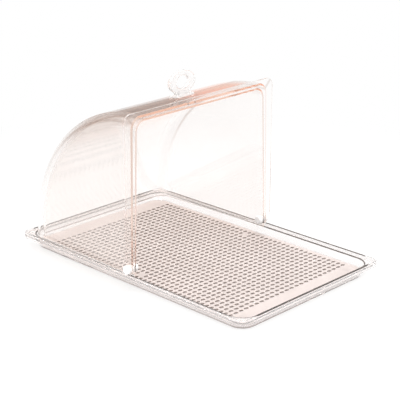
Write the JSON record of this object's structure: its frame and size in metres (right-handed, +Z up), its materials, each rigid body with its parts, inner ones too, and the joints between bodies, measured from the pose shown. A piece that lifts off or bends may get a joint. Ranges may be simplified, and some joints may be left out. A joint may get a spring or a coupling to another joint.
{
  "type": "countertop bread display bin",
  "caption": "Shallow dished tray with a perforated drainer, a clear fixed rear cover and a clear front cover that rolls back over it on white pins, with a loop handle.",
  "frame": {"origin": "middle of the part's bounding box in plan, on the counter under the tray", "axes": "+X along the tray towards its open front, +Y across the tray, +Z up"},
  "size_m": [0.53, 0.346, 0.3277],
  "materials": {
    "tray_plastic": "clear, slightly grey, polished",
    "drainer_plastic": "translucent, satin",
    "clear_plastic": "clear, polished",
    "white_plastic": "white, glossy",
    "screw_steel": "plain steel"
  },
  "bodies": {
    "base": {"tray": "tray_plastic"},
    "rack": {"drainer": "drainer_plastic"},
    "cover": {"fixed_cover": "clear_plastic", "pivot_pin_near": "white_plastic", "pivot_pin_far": "white_plastic", "pivot_cap_near": "white_plastic", "pivot_cap_far": "white_plastic", "pivot_washer_near": "white_plastic", "pivot_washer_far": "white_plastic"},
    "roller": {"rolling_cover": "clear_plastic", "loop_handle": "clear_plastic", "handle_screw_near": "screw_steel", "handle_screw_far": "screw_steel"}
  },
  "joints": [
    {"name": "cover_lift", "type": "slide", "parent": "base", "child": "cover", "axis": [0, 0, 1], "range_m": [0, 0.3]},
    {"name": "shell_roll", "type": "hinge", "parent": "cover", "child": "roller", "pos_m": [0.01, 0, 0.033], "axis": [0, 1, 0], "range_deg": [0, 90]},
    {"name": "rack_lift", "type": "slide", "parent": "base", "child": "rack", "axis": [0, 0, 1], "range_m": [0, 0.12]}
  ],
  "couplings": [
    {"joint": "rack_lift", "follows": "cover_lift", "ratio": 0.4}
  ]
}
